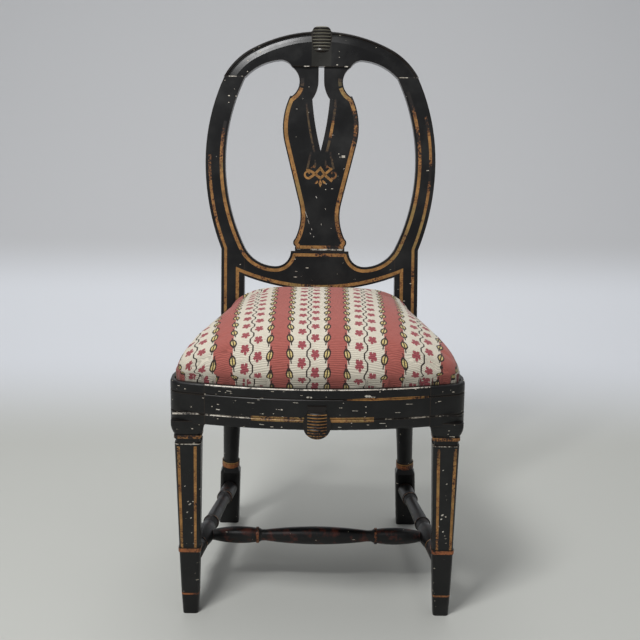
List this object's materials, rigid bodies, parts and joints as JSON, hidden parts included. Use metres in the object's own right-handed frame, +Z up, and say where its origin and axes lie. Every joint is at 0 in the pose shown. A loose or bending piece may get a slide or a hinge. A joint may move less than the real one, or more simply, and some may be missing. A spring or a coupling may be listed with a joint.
{
  "type": "side chair",
  "caption": "Painted side chair with an oval open back, pierced vase splat, turned stretchers and a crowned drop-in seat.",
  "frame": {"origin": "centre of the chair's footprint, on the floor", "axes": "+X to the right as seen from the front, the chair faces -Y, +Z up"},
  "size_m": [0.4746, 0.5196, 0.9424],
  "materials": {
    "painted_wood": "worn satin black paint with gilt lines",
    "bare_wood": "unpainted softwood of the seat frame",
    "oak_peg": "riven hardwood pegs",
    "striped_cloth": "woven brick red and cream striped upholstery",
    "jute": "woven jute webbing and hessian",
    "horsehair": "curled hair and tow stuffing",
    "dust_cloth": "black cotton base cloth",
    "tack_steel": "blued iron upholstery tacks"
  },
  "bodies": {
    "chair_frame": {"rear_post_left": "painted_wood", "rear_post_right": "painted_wood", "crest_rail": "painted_wood", "splat": "painted_wood", "back_cross_rail": "painted_wood", "front_leg_left": "painted_wood", "front_leg_right": "painted_wood", "front_rail": "painted_wood", "front_rail_drop": "painted_wood", "side_rail_left": "painted_wood", "side_rail_right": "painted_wood", "rear_rail": "painted_wood", "side_stretcher_left": "painted_wood", "side_stretcher_right": "painted_wood", "cross_stretcher": "painted_wood", "corner_block_front_left": "bare_wood", "corner_block_front_right": "bare_wood", "corner_block_rear_left": "bare_wood", "corner_block_rear_right": "bare_wood", "joint_pegs": "oak_peg"},
    "drop_in_seat": {"slip_frame_front": "bare_wood", "slip_frame_rear": "bare_wood", "slip_frame_left": "bare_wood", "slip_frame_right": "bare_wood", "webbing_lengthwise": "jute", "webbing_crosswise": "jute", "hessian": "jute", "stuffing": "horsehair", "seat_cover": "striped_cloth", "base_cloth": "dust_cloth", "cover_tacks": "tack_steel"}
  },
  "joints": [
    {"name": "seat_lift", "type": "slide", "parent": "chair_frame", "child": "drop_in_seat", "axis": [0, 0, 1], "range_m": [0, 0.15]}
  ]
}
